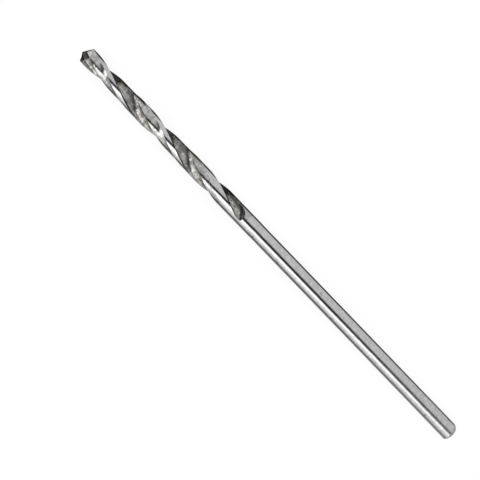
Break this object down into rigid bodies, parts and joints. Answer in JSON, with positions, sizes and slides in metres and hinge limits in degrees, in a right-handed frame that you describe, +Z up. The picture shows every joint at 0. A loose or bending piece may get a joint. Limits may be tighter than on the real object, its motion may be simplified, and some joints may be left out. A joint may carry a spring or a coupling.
{
  "type": "twist drill bit",
  "caption": "Straight-shank twist drill with two right-hand helical flutes, margins and a 118 degree point.",
  "frame": {"origin": "on the surface it lies on, under the middle of its length", "axes": "+X along the drill's axis towards the point, +Z up, the axis one radius above the surface"},
  "size_m": [0.04, 0.0014, 0.0014],
  "materials": {
    "ground_steel": "bright ground high-speed steel, fine lines round the shank, rougher and darker in the flutes"
  },
  "bodies": {
    "root": {"twist_drill": "ground_steel"}
  },
  "joints": []
}
